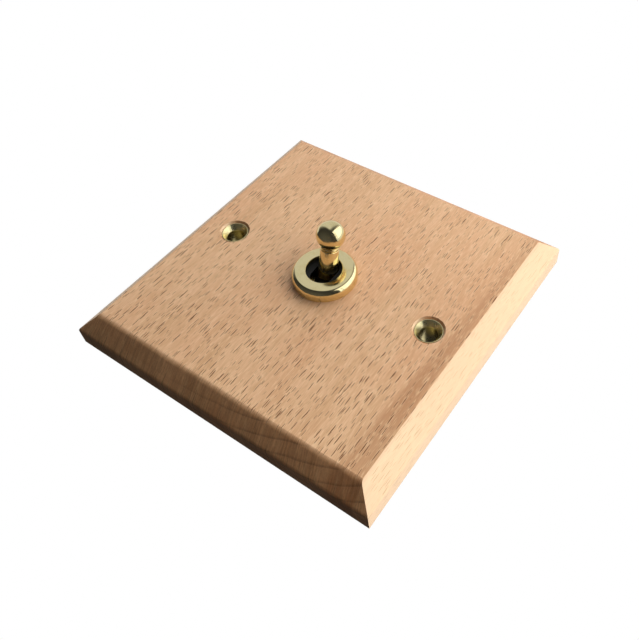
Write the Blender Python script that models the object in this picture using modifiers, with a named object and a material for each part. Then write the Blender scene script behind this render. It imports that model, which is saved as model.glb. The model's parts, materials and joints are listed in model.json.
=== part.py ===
"""Toggle wall switch: a bevelled beech plate with a brass toggle, and the two-way mechanism behind it.

Frame: the origin is the centre of the plate's back face, where it meets the wall.
+Z is up, +X is to the right seen from the front, and the front faces -Y.
Sizes are in millimetres. A "height" is measured from the back face towards the front, so y = -height.
"""
import math

import bmesh
import bpy
from mathutils import Matrix, Vector

MM = 0.001
GAP = 0.3

# Plate: the bevel's and the side's planes meet at BEVEL_CORNER, given as half size and height
PLATE_THICKNESS = 9.25
FACE_SIZE = 77.1
BEVEL_CORNER = (43.0, 5.2)
ARRIS_ROUND = 1.5
BACK_ROUND = 0.3
SCREW_SPACING = 60.0
SCREW_HOLE_RADIUS = 3.6
SCREW_HOLE_CHAMFER = 0.4
POCKET_SIZE = (26.0, 38.0)
POCKET_CORNER = 3.0
WEB_BACK = 6.0

# Brass trim
FERRULE_RADIUS = 3.3
FERRULE_LIP = PLATE_THICKNESS - 0.4
FERRULE_BORE = 2.2
RING_TOP = PLATE_THICKNESS + 3.1
RING_RADIUS = 8.1
RING_FLAT = 7.0
RING_HOLE = 4.55
RING_LIP = 1.0

# Bushing, and what is clamped on it
THREAD_RADIUS = 5.95
CLEAR_RADIUS = THREAD_RADIUS + GAP
BUSHING_TOP = RING_TOP - 1.95
BUSHING_BORE = 4.4
KEYWAY_WIDTH = 1.6
KEYWAY_FLOOR = 5.15
NECK_RADIUS = 4.95
FLARE_RADIUS = 5.6
SEAL_RADIUS = 5.8
SEAL_SLOT = (2.75, 4.25)
LOCATING_RING = (8.0, 5.75, 5.15)
LOCK_WASHER = (7.5, 4.9, 4.4)
LOCK_TEETH = 12
NUT_FLATS = 15.0
NUT_HEIGHTS = (4.15, 2.15)

# Lever
PIVOT_HEIGHT = PLATE_THICKNESS - 3.75
LEVER_TILT = 15.0
PIN_RADIUS = 0.8
PIN_HOLE = PIN_RADIUS + GAP
PIVOT_BALL = 3.5
KNOB_CENTRE = 15.86
KNOB_RADIUS = 3.45
BEAD = (1.95, 0.28)
GROOVE_RADIUS = 1.8
STEM_TOP = 2.12
STEM_END = (2.55, 3.9)
TAIL_RADIUS = 2.5
TAIL_END = -9.0
TAIL_BORE = 1.6
TAIL_BORE_END = -2.2
STUD_RADIUS = 1.3
STUD_TOP = 9.2
PLUNGER_RADIUS = 1.3
PLUNGER_TIP = -12.0
PLUNGER_TOP = -6.7
SPRING_RADIUS = 1.05
SPRING_WIRE = 0.2
SPRING_ENDS = (-2.7, -6.25)
SPRING_TURNS = 5
SPRING_STEPS = 8

# Switch body: x width, z length, and the y of its faces
BASE_WIDTH = 16.0
BASE_LENGTH = 30.0
BASE_FRONT = 0.1
BASE_BACK = 14.5
CAVITY_SIZE = (12.0, 25.0)
CAVITY_FLOOR = 10.5
STRAP_FRONT = -1.9
STRAP_THICKNESS = 1.0
STRAP_SIDE = 9.1
STRAP_TAB = 6.6
STRAP_HALF_LEG = 4.0
GASKET = (-0.6, -0.2)

# Contacts and terminals
ROCKER_AXIS_Y = 8.35
ROCKER_TILT = 9.0
ROCKER_DIHEDRAL = math.radians(16.0)
ROCKER_ARM = 9.2
ROCKER_HALF_WIDTH = 2.5
ROCKER_THICKNESS = 0.8
ROCKER_BEAD = 0.9
ROCKER_CROWN = 1.3
TIP_REACH = 8.0
TIP_RADIUS = 1.4
TIP_HEIGHT = 0.5
SHANK_RADIUS = 0.6
RIVET_STANDOFF = 0.25
SHANK_HOLE = 0.9
TERMINAL_PITCH = 10.0
CONTACT_Z = 8.3
CONTACT_STRIP = (8.7, 9.5)
STEM_X = -3.0
SCREW_X = 1.0
TERMINAL_FRONT = BASE_BACK + GAP
TERMINAL_THICKNESS = 1.0
WIRE_SPACE = 2.1
RIB_HEIGHT = 3.6
CLAMP_SIZE = 6.4
CLAMP_THICKNESS = 0.8
SCREW_RADIUS = 1.6
SCREW_HOLE = SCREW_RADIUS + GAP
HEAD_RADIUS = 3.0
HEAD_HEIGHT = 2.0
SCREW_END = 12.0

# Facets round a full turn
FINE = 36
COARSE = 24
TINY = 12

# Local axes of a turned or flat piece: Z to the front, or Y to the front and X up
TURNED_TO_FRONT = (math.pi / 2, 0, 0)
X_UP_Y_TO_FRONT = Matrix(((0, 0, 1), (0, -1, 0), (1, 0, 0))).to_euler()

MATERIALS = {
    "beech": ((0.68, 0.43, 0.24), 0.55, 0.0),
    "polished_brass": ((0.83, 0.65, 0.27), 0.12, 1.0),
    "terminal_brass": ((0.72, 0.54, 0.22), 0.35, 1.0),
    "plated_steel": ((0.62, 0.62, 0.63), 0.3, 1.0),
    "black_rubber": ((0.012, 0.012, 0.013), 0.8, 0.0),
    "black_phenolic": ((0.018, 0.016, 0.015), 0.35, 0.0),
    "red_fibre": ((0.32, 0.07, 0.04), 0.8, 0.0),
    "copper": ((0.78, 0.38, 0.22), 0.3, 1.0),
    "silver": ((0.85, 0.85, 0.83), 0.25, 1.0),
}


def clear_scene():
    for obj in list(bpy.data.objects):
        bpy.data.objects.remove(obj, do_unlink=True)


def new_collection(name):
    collection = bpy.data.collections.new(name)
    bpy.context.scene.collection.children.link(collection)
    return collection


def new_material(name):
    colour, roughness, metallic = MATERIALS[name]
    material = bpy.data.materials.new(name)
    material.use_nodes = True
    shader = material.node_tree.nodes["Principled BSDF"]
    shader.inputs["Base Color"].default_value = (*colour, 1.0)
    shader.inputs["Roughness"].default_value = roughness
    shader.inputs["Metallic"].default_value = metallic
    return material


clear_scene()
PARTS = new_collection("toggle_wall_switch")
CUTTERS = new_collection("cutters")
FINISH = {name: new_material(name) for name in MATERIALS}


# ---------------------------------------------------------------- shape helpers

def add_object(name, mesh, finish=None, parent=None):
    """Puts a mesh in the scene: a part if it has a finish, and a cutter if it has none."""
    obj = bpy.data.objects.new(name, mesh)
    if finish:
        mesh.materials.append(FINISH[finish])
        PARTS.objects.link(obj)
    else:
        CUTTERS.objects.link(obj)
        obj.hide_render = True
        obj.display_type = "WIRE"
    obj.parent = parent
    return obj


def mesh_from(bm, name):
    mesh = bpy.data.meshes.new(name)
    bm.to_mesh(mesh)
    bm.free()
    return mesh


def turned(name, outline, finish=None, parent=None, steps=FINE, ring=False):
    """Turns an outline of (radius, height) about the local Z axis, which points to the front.

    The outline runs down the outer side. A ring's outline goes on up its bore and closes on itself.
    """
    bm = bmesh.new()
    verts = [bm.verts.new((r * MM, 0, h * MM)) for r, h in outline]
    for a, b in zip(verts, verts[1:]):
        bm.edges.new((a, b))
    if ring:
        bm.edges.new((verts[-1], verts[0]))
    obj = add_object(name, mesh_from(bm, name), finish, parent)
    obj.rotation_euler = TURNED_TO_FRONT
    screw = obj.modifiers.new("turn", "SCREW")
    screw.axis = "Z"
    screw.steps = steps
    screw.render_steps = steps
    screw.use_merge_vertices = True
    screw.merge_threshold = 0.00001
    return obj


def block(name, x, y, z, finish=None, parent=None, corner=0.0, corner_axis=1):
    """A box between pairs of limits. A corner radius rounds the four edges along corner_axis."""
    bm = bmesh.new()
    size = [(b - a) * MM for a, b in (x, y, z)]
    centre = [(a + b) / 2 * MM for a, b in (x, y, z)]
    bmesh.ops.create_cube(bm, size=1.0, matrix=Matrix.Translation(centre) @ Matrix.Diagonal((*size, 1)))
    if corner:
        edges = [e for e in bm.edges if abs((e.verts[0].co - e.verts[1].co)[corner_axis]) > 1e-7]
        bmesh.ops.bevel(bm, geom=edges, offset=corner * MM, segments=3, affect="EDGES", profile=0.5)
    return add_object(name, mesh_from(bm, name), finish, parent)


def rod(name, radius, start, end, finish=None, parent=None, steps=COARSE):
    """A cylinder from one point to another."""
    start, end = Vector(start) * MM, Vector(end) * MM
    along = end - start
    place = Matrix.Translation((start + end) / 2) @ along.to_track_quat("Z", "Y").to_matrix().to_4x4()
    bm = bmesh.new()
    bmesh.ops.create_cone(bm, cap_ends=True, segments=steps, radius1=radius * MM, radius2=radius * MM,
                          depth=along.length, matrix=place)
    return add_object(name, mesh_from(bm, name), finish, parent)


def flat_sheet(name, loops, heights, finish=None, parent=None, rotation=TURNED_TO_FRONT):
    """A flat outline of (x, y) loops, holes included, with its faces at two local heights."""
    curve = bpy.data.curves.new(name, "CURVE")
    curve.dimensions = "2D"
    curve.fill_mode = "BOTH"
    curve.extrude = abs(heights[0] - heights[1]) / 2 * MM
    for loop in loops:
        spline = curve.splines.new("POLY")
        spline.points.add(len(loop) - 1)
        for point, (x, y) in zip(spline.points, loop):
            point.co = (x * MM, y * MM, 0, 1)
        spline.use_cyclic_u = True
    guide = bpy.data.objects.new(name + "_outline", curve)
    CUTTERS.objects.link(guide)
    obj = add_object(name, solid_from_curve(guide), finish, parent)
    obj.data.transform(Matrix.Translation((0, 0, sum(heights) / 2 * MM)))
    obj.rotation_euler = rotation
    return obj


def solid_from_curve(guide):
    """The curve's welded mesh. The curve itself is removed."""
    bpy.context.view_layer.update()
    mesh = bpy.data.meshes.new_from_object(guide.evaluated_get(bpy.context.evaluated_depsgraph_get()))
    bpy.data.objects.remove(guide, do_unlink=True)
    bm = bmesh.new()
    bm.from_mesh(mesh)
    bmesh.ops.remove_doubles(bm, verts=bm.verts, dist=0.000001)
    bmesh.ops.recalc_face_normals(bm, faces=bm.faces)
    bm.to_mesh(mesh)
    bm.free()
    return mesh


def combine(obj, other, operation="DIFFERENCE"):
    """Cuts or joins an object with another one through a Boolean modifier."""
    step = obj.modifiers.new(operation.lower(), "BOOLEAN")
    step.operation = operation
    step.solver = "EXACT"
    step.object = other
    return obj


def circle(radius, steps=FINE, centre=(0, 0)):
    angles = [2 * math.pi * i / steps for i in range(steps)]
    return [(centre[0] + radius * math.cos(a), centre[1] + radius * math.sin(a)) for a in angles]


def arc(centre, radius, start, end, count):
    """Points on an arc, between two angles in degrees."""
    angles = [math.radians(start + (end - start) * i / count) for i in range(count + 1)]
    return [(centre[0] + radius * math.cos(a), centre[1] + radius * math.sin(a)) for a in angles]


def empty_at(name, y, tilt, parent=None):
    """A pivot on the x axis line at y, turned about X by a tilt in degrees."""
    pivot = bpy.data.objects.new(name, None)
    PARTS.objects.link(pivot)
    pivot.location = (0, y * MM, 0)
    pivot.rotation_euler = (math.radians(tilt), 0, 0)
    pivot.empty_display_size = 0.005
    pivot.parent = parent
    return pivot


# ---------------------------------------------------------------- plate and brass trim

def make_faceplate():
    """A square plate with mitred bevels: an outline turned in four steps, corner radius = half size x root 2."""
    half_face = FACE_SIZE / 2
    half_size, corner_height = BEVEL_CORNER
    slope = math.atan2(half_size - half_face, PLATE_THICKNESS - corner_height)
    arris_drop = ARRIS_ROUND * math.tan(slope / 2)
    arris = arc((half_size - ARRIS_ROUND, corner_height - arris_drop), ARRIS_ROUND, math.degrees(slope), 0, 4)
    back_edge = arc((half_size - BACK_ROUND, BACK_ROUND), BACK_ROUND, 0, -90, 2)
    outline = [(0, PLATE_THICKNESS), (half_face, PLATE_THICKNESS), *arris, *back_edge, (0, 0)]
    corner = math.sqrt(2)
    plate = turned("faceplate", [(r * corner, h) for r, h in outline], "beech", steps=4)
    plate.rotation_euler = Vector(TURNED_TO_FRONT) + Vector((0, math.radians(45), 0))
    hole = rod("toggle_hole", CLEAR_RADIUS, (0, 1, 0), (0, -12, 0), steps=FINE)
    combine(plate, hole)
    width, length = POCKET_SIZE
    pocket = block("back_pocket", (-width / 2, width / 2), (-WEB_BACK, 1), (-length / 2, length / 2),
                   corner=POCKET_CORNER)
    combine(plate, pocket)
    wide = SCREW_HOLE_RADIUS + SCREW_HOLE_CHAMFER
    rim = PLATE_THICKNESS - SCREW_HOLE_CHAMFER
    drill = [(0, PLATE_THICKNESS + 1), (wide + 1, PLATE_THICKNESS + 1), (SCREW_HOLE_RADIUS, rim),
             (SCREW_HOLE_RADIUS, -1), (0, -1)]
    for side_name, x in (("left", -SCREW_SPACING / 2), ("right", SCREW_SPACING / 2)):
        cutter = turned("screw_hole_" + side_name, drill)
        cutter.location.x = x * MM
        combine(plate, cutter)


def make_ferrules():
    """Brass-lined screw holes, each countersunk for an oval-head screw."""
    edge = FERRULE_RADIUS - 0.12
    outline = [(edge, FERRULE_LIP), (FERRULE_RADIUS, FERRULE_LIP - 0.12), (FERRULE_RADIUS, GAP),
               (FERRULE_BORE, GAP), (FERRULE_BORE, FERRULE_LIP - 1.35), (edge - 0.15, FERRULE_LIP)]
    for side_name, x in (("left", -SCREW_SPACING / 2), ("right", SCREW_SPACING / 2)):
        ferrule = turned("ferrule_" + side_name, outline, "polished_brass", ring=True)
        ferrule.location.x = x * MM


def make_dress_ring():
    """The round nut on the face: a flat top, a rounded shoulder and a threaded counterbore."""
    shoulder_drop = 1.5
    width = RING_RADIUS - RING_FLAT
    shoulder = [(RING_FLAT + width * math.sin(a), RING_TOP - shoulder_drop * (1 - math.cos(a)))
                for a in (math.radians(22.5 * i) for i in range(5))]
    seat = PLATE_THICKNESS + GAP
    outline = [*shoulder, (RING_RADIUS, seat + 0.25), (RING_RADIUS - 0.25, seat), (CLEAR_RADIUS, seat),
               (CLEAR_RADIUS, RING_TOP - RING_LIP), (RING_HOLE, RING_TOP - RING_LIP),
               (RING_HOLE, RING_TOP - 0.12), (RING_HOLE + 0.12, RING_TOP)]
    turned("dress_ring", outline, "polished_brass", ring=True)


def make_dust_seal():
    """A rubber disc under the ring's lip, slotted for the lever's swing."""
    half_width, half_length = SEAL_SLOT
    run = half_length - half_width
    slot = [*arc((0, run), half_width, 0, 180, 10), *arc((0, -run), half_width, 180, 360, 10)]
    flat_sheet("dust_seal", [circle(SEAL_RADIUS), slot], (BUSHING_TOP + 0.3, BUSHING_TOP + 0.65),
               "black_rubber")


# ---------------------------------------------------------------- bushing and its hardware

def make_bushing():
    """The threaded sleeve, with a keyway below and a flared neck that holds the strap."""
    shoulder = -STRAP_FRONT + 0.25
    neck_end = -GASKET[0] + 0.05
    flare_end = neck_end - 0.5
    outline = [(THREAD_RADIUS - 0.4, BUSHING_TOP), (THREAD_RADIUS, BUSHING_TOP - 0.4),
               (THREAD_RADIUS, shoulder), (NECK_RADIUS, shoulder), (NECK_RADIUS, neck_end),
               (FLARE_RADIUS, neck_end), (FLARE_RADIUS, flare_end), (BUSHING_BORE, flare_end),
               (BUSHING_BORE, BUSHING_TOP)]
    bushing = turned("bushing", outline, "polished_brass", ring=True)
    keyway = block("keyway", (-KEYWAY_WIDTH / 2, KEYWAY_WIDTH / 2), (-BUSHING_TOP - 1, -shoulder + GAP),
                   (-THREAD_RADIUS - 1, -KEYWAY_FLOOR))
    combine(bushing, keyway)
    pin_hole = rod("bushing_pin_hole", PIN_HOLE, (-8, -PIVOT_HEIGHT, 0), (8, -PIVOT_HEIGHT, 0), steps=TINY)
    combine(bushing, pin_hole)
    rod("pivot_pin", PIN_RADIUS, (-THREAD_RADIUS + 0.25, -PIVOT_HEIGHT, 0),
        (THREAD_RADIUS - 0.25, -PIVOT_HEIGHT, 0), "plated_steel", steps=TINY)


def make_locating_ring():
    """A flat washer whose inner key sits in the bushing's keyway."""
    outer, top, bottom = LOCATING_RING
    half_key = KEYWAY_WIDTH / 2 - GAP
    opening = math.degrees(math.asin(half_key / CLEAR_RADIUS))
    bore = arc((0, 0), CLEAR_RADIUS, -90 + opening, 270 - opening, FINE)
    key_tip = -KEYWAY_FLOOR - GAP
    flat_sheet("locating_ring", [circle(outer), [*bore, (-half_key, key_tip), (half_key, key_tip)]],
               (top, bottom), "plated_steel")


def make_lock_washer():
    """A washer with teeth round its bore."""
    outer, top, bottom = LOCK_WASHER
    tooth = 360 / LOCK_TEETH
    bore = []
    for i in range(LOCK_TEETH):
        bore += arc((0, 0), CLEAR_RADIUS, tooth * i, tooth * (i + 0.5), 2)
        bore += arc((0, 0), CLEAR_RADIUS + 0.6, tooth * (i + 0.55), tooth * (i + 0.95), 2)
    flat_sheet("lock_washer", [circle(outer), bore], (top, bottom), "plated_steel")


def make_hex_nut():
    """A hexagon with its front corners cut back by a 30 degree cone."""
    top, bottom = NUT_HEIGHTS
    nut = flat_sheet("hex_nut", [circle(NUT_FLATS / math.sqrt(3), 6), circle(CLEAR_RADIUS)], NUT_HEIGHTS,
                     "plated_steel")
    slope = math.tan(math.radians(30))
    start = NUT_FLATS / 2 - 0.1
    wide = NUT_FLATS
    cone = [(0, top + 1), (start - 1 / slope, top + 1), (wide, top - (wide - start) * slope),
            (wide, bottom - 3), (0, bottom - 3)]
    combine(nut, turned("nut_rounding", cone), "INTERSECT")


# ---------------------------------------------------------------- switch body

def ribbon(path, thickness):
    """The closed outline of a strip of sheet that has this path as its outer face."""
    inner = []
    for i, point in enumerate(path):
        before = Vector(point) - Vector(path[max(i - 1, 0)])
        after = Vector(path[min(i + 1, len(path) - 1)]) - Vector(point)
        normals = [Vector((v.y, -v.x)).normalized() for v in (before, after) if v.length > 0]
        mean = sum(normals, Vector((0, 0))).normalized()
        inner.append(tuple(Vector(point) + mean * thickness / mean.dot(normals[0])))
    return [*path, *reversed(inner)]


def make_switch_strap():
    """A steel strap over the body: a drilled top plate, two legs, and tabs bent under the body."""
    back = BASE_BACK + GAP + STRAP_THICKNESS
    bend = 1.3
    right = [*arc((STRAP_SIDE - bend, STRAP_FRONT + bend), bend, -90, 0, 4),
             *arc((STRAP_SIDE - bend, back - bend), bend, 0, 90, 4), (STRAP_TAB, back)]
    left = [(-x, y) for x, y in reversed(right)]
    section = ribbon([*right[::-1], *left[::-1]], STRAP_THICKNESS)
    legs = flat_sheet("strap_legs", [section], (-STRAP_HALF_LEG, STRAP_HALF_LEG), rotation=(0, 0, 0))
    half_width = BASE_WIDTH / 2
    half_length = BASE_LENGTH / 2 + 0.3
    strap = block("switch_strap", (-half_width, half_width), (STRAP_FRONT, STRAP_FRONT + STRAP_THICKNESS),
                  (-half_length, half_length), "plated_steel", corner=1.5)
    combine(strap, legs, "UNION")
    hole = rod("strap_hole", NECK_RADIUS + GAP, (0, STRAP_FRONT - 1, 0), (0, 0, 0), steps=FINE)
    combine(strap, hole)


def make_gasket():
    """A fibre sheet between the strap and the body."""
    half_width, half_length = BASE_WIDTH / 2 - 0.3, BASE_LENGTH / 2 - 0.3
    gasket = block("insulator_gasket", (-half_width, half_width), GASKET, (-half_length, half_length),
                   "red_fibre", corner=1.2)
    combine(gasket, rod("gasket_hole", FLARE_RADIUS + GAP, (0, -2, 0), (0, 2, 0), steps=FINE))


def make_switch_base():
    """The moulded body: an open cavity in front, two ribs behind, and slots and holes for the terminals."""
    half_width, half_length = BASE_WIDTH / 2, BASE_LENGTH / 2
    base = block("switch_base", (-half_width, half_width), (BASE_FRONT, BASE_BACK),
                 (-half_length, half_length), "black_phenolic", corner=1.5)
    cavity_x, cavity_z = (size / 2 for size in CAVITY_SIZE)
    combine(base, block("cavity", (-cavity_x, cavity_x), (-2, CAVITY_FLOOR), (-cavity_z, cavity_z),
                        corner=1.0))
    rib_end = STRAP_TAB - GAP
    for name, z in (("upper", TERMINAL_PITCH / 2), ("lower", -TERMINAL_PITCH / 2)):
        rib = block("rib_" + name, (-rib_end, rib_end), (BASE_BACK - 1, BASE_BACK + RIB_HEIGHT),
                    (z - 0.6, z + 0.6))
        combine(base, rib, "UNION")
    for name, z in terminal_rows():
        slot = block("stem_slot_" + name, (STEM_X - 0.8, STEM_X + 0.8), (CAVITY_FLOOR - 2, BASE_BACK + 3),
                     (z - 1.8, z + 1.8))
        combine(base, slot)
        screw_hole = rod("screw_socket_" + name, SCREW_HOLE, (SCREW_X, SCREW_END - GAP, z),
                         (SCREW_X, BASE_BACK + 3, z))
        combine(base, screw_hole)


# ---------------------------------------------------------------- terminals

def terminal_rows():
    return (("upper", TERMINAL_PITCH), ("common", 0.0), ("lower", -TERMINAL_PITCH))


def terminal_plate(name, z, stem_front):
    """The outside plate and its stem, which runs through the body up to stem_front."""
    back = TERMINAL_FRONT + TERMINAL_THICKNESS
    plate = block(name, (STEM_X - 0.5, SCREW_X + 3.5), (TERMINAL_FRONT, back), (z - 3, z + 3),
                  "terminal_brass", corner=0.6)
    stem = block(name + "_stem", (STEM_X - 0.5, STEM_X + 0.5), (stem_front, back - 0.2), (z - 1.5, z + 1.5))
    combine(plate, stem, "UNION")
    hole = rod(name + "_screw_hole", SCREW_HOLE, (SCREW_X, TERMINAL_FRONT - 1, z), (SCREW_X, back + 1, z))
    combine(plate, hole)
    return plate


def make_common_terminal():
    """The rocker's cradle: a grooved block between two cheeks."""
    top = ROCKER_AXIS_Y + 0.1
    foot = CAVITY_FLOOR - GAP
    common = terminal_plate("common_terminal", 0, foot - 0.4)
    half_width = ROCKER_HALF_WIDTH + 0.5
    combine(common, block("cradle_block", (-half_width - 0.8, half_width + 0.8), (top, foot), (-2.2, 2.2)),
            "UNION")
    for side in (-1, 1):
        limits = sorted((side * half_width, side * (half_width + 0.8)))
        cheek = block("cheek", limits, (top - 1.9, foot - 0.2), (-1.6, 1.6))
        combine(common, cheek, "UNION")
    combine(common, rod("cradle_groove", ROCKER_BEAD + GAP, (-half_width, ROCKER_AXIS_Y, 0),
                        (half_width, ROCKER_AXIS_Y, 0)))


def make_fixed_contacts():
    """The two outer terminals, each with a strip inside the cavity that carries a silver rivet."""
    front, back = CONTACT_STRIP
    reach = back - front + RIVET_STANDOFF
    for name, side in (("upper", 1), ("lower", -1)):
        terminal = terminal_plate(name + "_terminal", side * TERMINAL_PITCH, front + 0.2)
        inner, outer = sorted((side * (CONTACT_Z - 1.8), side * (TERMINAL_PITCH + 1.5)))
        combine(terminal, block(name + "_strip", (STEM_X - 0.5, 2.5), (front, back), (inner, outer)), "UNION")
        combine(terminal, rod(name + "_rivet_hole", SHANK_HOLE, (0, front - 1, side * CONTACT_Z),
                              (0, back + 1, side * CONTACT_Z), steps=TINY))
        rivet = contact_rivet(name + "_contact", reach)
        rivet.location = (0, (front - RIVET_STANDOFF) * MM, side * CONTACT_Z * MM)


def contact_rivet(name, reach, parent=None):
    """A silver rivet with a slightly domed head. Its head sits above its origin, its shank below."""
    outline = [(0, TIP_HEIGHT), (TIP_RADIUS * 0.6, TIP_HEIGHT - 0.05), (TIP_RADIUS, TIP_HEIGHT - 0.2),
               (TIP_RADIUS, 0), (SHANK_RADIUS, 0), (SHANK_RADIUS, -reach), (0, -reach)]
    return turned(name, outline, "silver", parent, steps=16)


def make_terminal_screws():
    """For each terminal a slotted pan-head screw and the square plate that it clamps a wire with."""
    clamp_front = TERMINAL_FRONT + TERMINAL_THICKNESS + WIRE_SPACE
    clamp_back = clamp_front + CLAMP_THICKNESS
    head_front = clamp_back + GAP
    head_back = head_front + HEAD_HEIGHT
    half = CLAMP_SIZE / 2
    for name, z in terminal_rows():
        clamp = block("clamp_plate_" + name, (SCREW_X - half, SCREW_X + half), (clamp_front, clamp_back),
                      (z - half, z + half), "plated_steel", corner=0.8)
        combine(clamp, rod("clamp_hole_" + name, SCREW_HOLE, (SCREW_X, clamp_front - 1, z),
                           (SCREW_X, clamp_back + 1, z)))
        outline = [(0, -SCREW_END), (SCREW_RADIUS - 0.3, -SCREW_END), (SCREW_RADIUS, -SCREW_END - 0.3),
                   (SCREW_RADIUS, -head_front), (HEAD_RADIUS, -head_front), (HEAD_RADIUS, 0.8 - head_back),
                   (HEAD_RADIUS * 0.72, -head_back), (0, -head_back)]
        screw = turned("terminal_screw_" + name, outline, "plated_steel", steps=COARSE)
        screw.location = (SCREW_X * MM, 0, z * MM)
        slot = block("slot_" + name, (SCREW_X - 4, SCREW_X + 4), (head_back - 1, head_back + 1),
                     (z - 0.45, z + 0.45))
        combine(screw, slot)


# ---------------------------------------------------------------- lever

def make_lever_handle(pivot):
    """The turned brass handle: ball, bead, groove and tapered stem, bored to screw on the core's stud."""
    ball = arc((0, KNOB_CENTRE), KNOB_RADIUS, 90, -52, 11)
    bead_centre, bead_radius = BEAD
    bead = arc((bead_centre, KNOB_CENTRE - 3.0), bead_radius, 60, -60, 3)
    groove = KNOB_CENTRE - 3.5
    outline = [*ball, *bead, (GROOVE_RADIUS, groove + 0.12), (GROOVE_RADIUS, groove - 0.12),
               (STEM_TOP - 0.15, groove - 0.25), (STEM_TOP, groove - 0.4), STEM_END, (TAIL_BORE, STEM_END[1]),
               (TAIL_BORE, STUD_TOP + 0.4), (0, STUD_TOP + 0.4)]
    turned("lever_handle", outline, "polished_brass", pivot, steps=COARSE)


def make_lever_core(pivot):
    """The insulating core: a stud, the pivot ball, and a tail bored for the spring and plunger."""
    angle_up = math.degrees(math.acos(STUD_RADIUS / PIVOT_BALL))
    angle_down = -math.degrees(math.acos(TAIL_RADIUS / PIVOT_BALL))
    ball = arc((0, 0), PIVOT_BALL, angle_up, angle_down, 8)
    outline = [(0, STUD_TOP), (STUD_RADIUS - 0.2, STUD_TOP), (STUD_RADIUS, STUD_TOP - 0.2), *ball,
               (TAIL_RADIUS, TAIL_END + 0.2), (TAIL_RADIUS - 0.2, TAIL_END), (TAIL_BORE, TAIL_END),
               (TAIL_BORE, TAIL_BORE_END), (0, TAIL_BORE_END)]
    core = turned("lever_core", outline, "black_phenolic", pivot, steps=COARSE)
    hole = rod("core_pin_hole", PIN_HOLE, (-6, 0, 0), (6, 0, 0), parent=pivot, steps=TINY)
    combine(core, hole)


def make_plunger_and_spring(pivot):
    nose = arc((0, PLUNGER_TIP + PLUNGER_RADIUS), PLUNGER_RADIUS, 0, -90, 4)
    turned("plunger", [(0, PLUNGER_TOP), (PLUNGER_RADIUS - 0.15, PLUNGER_TOP),
                       (PLUNGER_RADIUS, PLUNGER_TOP - 0.15), *nose], "plated_steel", pivot, steps=16)
    top, bottom = SPRING_ENDS
    count = SPRING_STEPS * SPRING_TURNS
    curve = bpy.data.curves.new("plunger_spring", "CURVE")
    curve.dimensions = "3D"
    curve.bevel_depth = SPRING_WIRE * MM
    curve.bevel_resolution = 2
    curve.use_fill_caps = True
    spline = curve.splines.new("POLY")
    spline.points.add(count)
    for i, point in enumerate(spline.points):
        turn = 2 * math.pi * i / SPRING_STEPS
        height = top + (bottom - top) * i / count
        place = (SPRING_RADIUS * math.cos(turn), -height, SPRING_RADIUS * math.sin(turn))
        point.co = (*(Vector(place) * MM), 1)
    guide = bpy.data.objects.new("spring_wire", curve)
    CUTTERS.objects.link(guide)
    add_object("plunger_spring", solid_from_curve(guide), "plated_steel", pivot)


# ---------------------------------------------------------------- rocker

def make_rocker(pivot):
    """The moving contact: a shallow V of copper strip on a round bead, with a silver rivet on each arm."""
    run = Vector((math.cos(ROCKER_DIHEDRAL), math.sin(ROCKER_DIHEDRAL)))
    drop = ROCKER_THICKNESS / math.cos(ROCKER_DIHEDRAL)
    half = [(0, ROCKER_CROWN), (run.x * ROCKER_ARM, ROCKER_CROWN + run.y * ROCKER_ARM)]
    end = (half[1][0] + ROCKER_THICKNESS * run.y, half[1][1] - ROCKER_THICKNESS * run.x)
    section = [(-half[1][0], half[1][1]), half[0], half[1], end, (0, ROCKER_CROWN - drop), (-end[0], end[1])]
    rocker = flat_sheet("rocker_contact", [section], (-ROCKER_HALF_WIDTH, ROCKER_HALF_WIDTH), "copper", pivot,
                        rotation=X_UP_Y_TO_FRONT)
    bead = rod("rocker_bead", ROCKER_BEAD, (-ROCKER_HALF_WIDTH, 0, 0), (ROCKER_HALF_WIDTH, 0, 0), parent=pivot)
    combine(rocker, bead, "UNION")
    for name, side in (("upper", 1), ("lower", -1)):
        arm = Vector((side * run.x * TIP_REACH, ROCKER_CROWN + run.y * TIP_REACH))
        inward = Vector((-side * run.y, run.x))
        start, stop = arm + inward, arm - inward * 2
        hole = rod("rocker_rivet_hole_" + name, SHANK_HOLE, (0, -start.y, start.x), (0, -stop.y, stop.x),
                   parent=pivot, steps=TINY)
        combine(rocker, hole)
        face = arm - inward * (ROCKER_THICKNESS + RIVET_STANDOFF)
        rivet = contact_rivet("rocker_contact_" + name, ROCKER_THICKNESS + RIVET_STANDOFF, pivot)
        rivet.location = (0, -face.y * MM, face.x * MM)
        rivet.rotation_euler = (-math.pi / 2 + side * ROCKER_DIHEDRAL, 0, 0)


def bake_parts():
    """Gives each part its finished mesh, smooth where it is round."""
    bpy.context.view_layer.update()
    depsgraph = bpy.context.evaluated_depsgraph_get()
    finished = [(obj, bpy.data.meshes.new_from_object(obj.evaluated_get(depsgraph)))
                for obj in PARTS.objects if obj.type == "MESH"]
    for obj, mesh in finished:
        obj.modifiers.clear()
        obj.data = mesh
        mesh.shade_smooth()
        mesh.set_sharp_from_angle(angle=math.radians(35))


def build():
    make_faceplate()
    make_ferrules()
    make_dress_ring()
    make_dust_seal()
    make_bushing()
    make_locating_ring()
    make_lock_washer()
    make_hex_nut()
    make_switch_strap()
    make_gasket()
    make_switch_base()
    make_common_terminal()
    make_fixed_contacts()
    make_terminal_screws()
    lever_pivot = empty_at("lever_pivot", -PIVOT_HEIGHT, -LEVER_TILT)
    make_lever_handle(lever_pivot)
    make_lever_core(lever_pivot)
    make_plunger_and_spring(lever_pivot)
    make_rocker(empty_at("rocker_pivot", ROCKER_AXIS_Y, ROCKER_TILT))
    bake_parts()


build()
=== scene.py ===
import json
import math

import bmesh
import bpy
from mathutils import Matrix, Vector, noise


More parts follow.
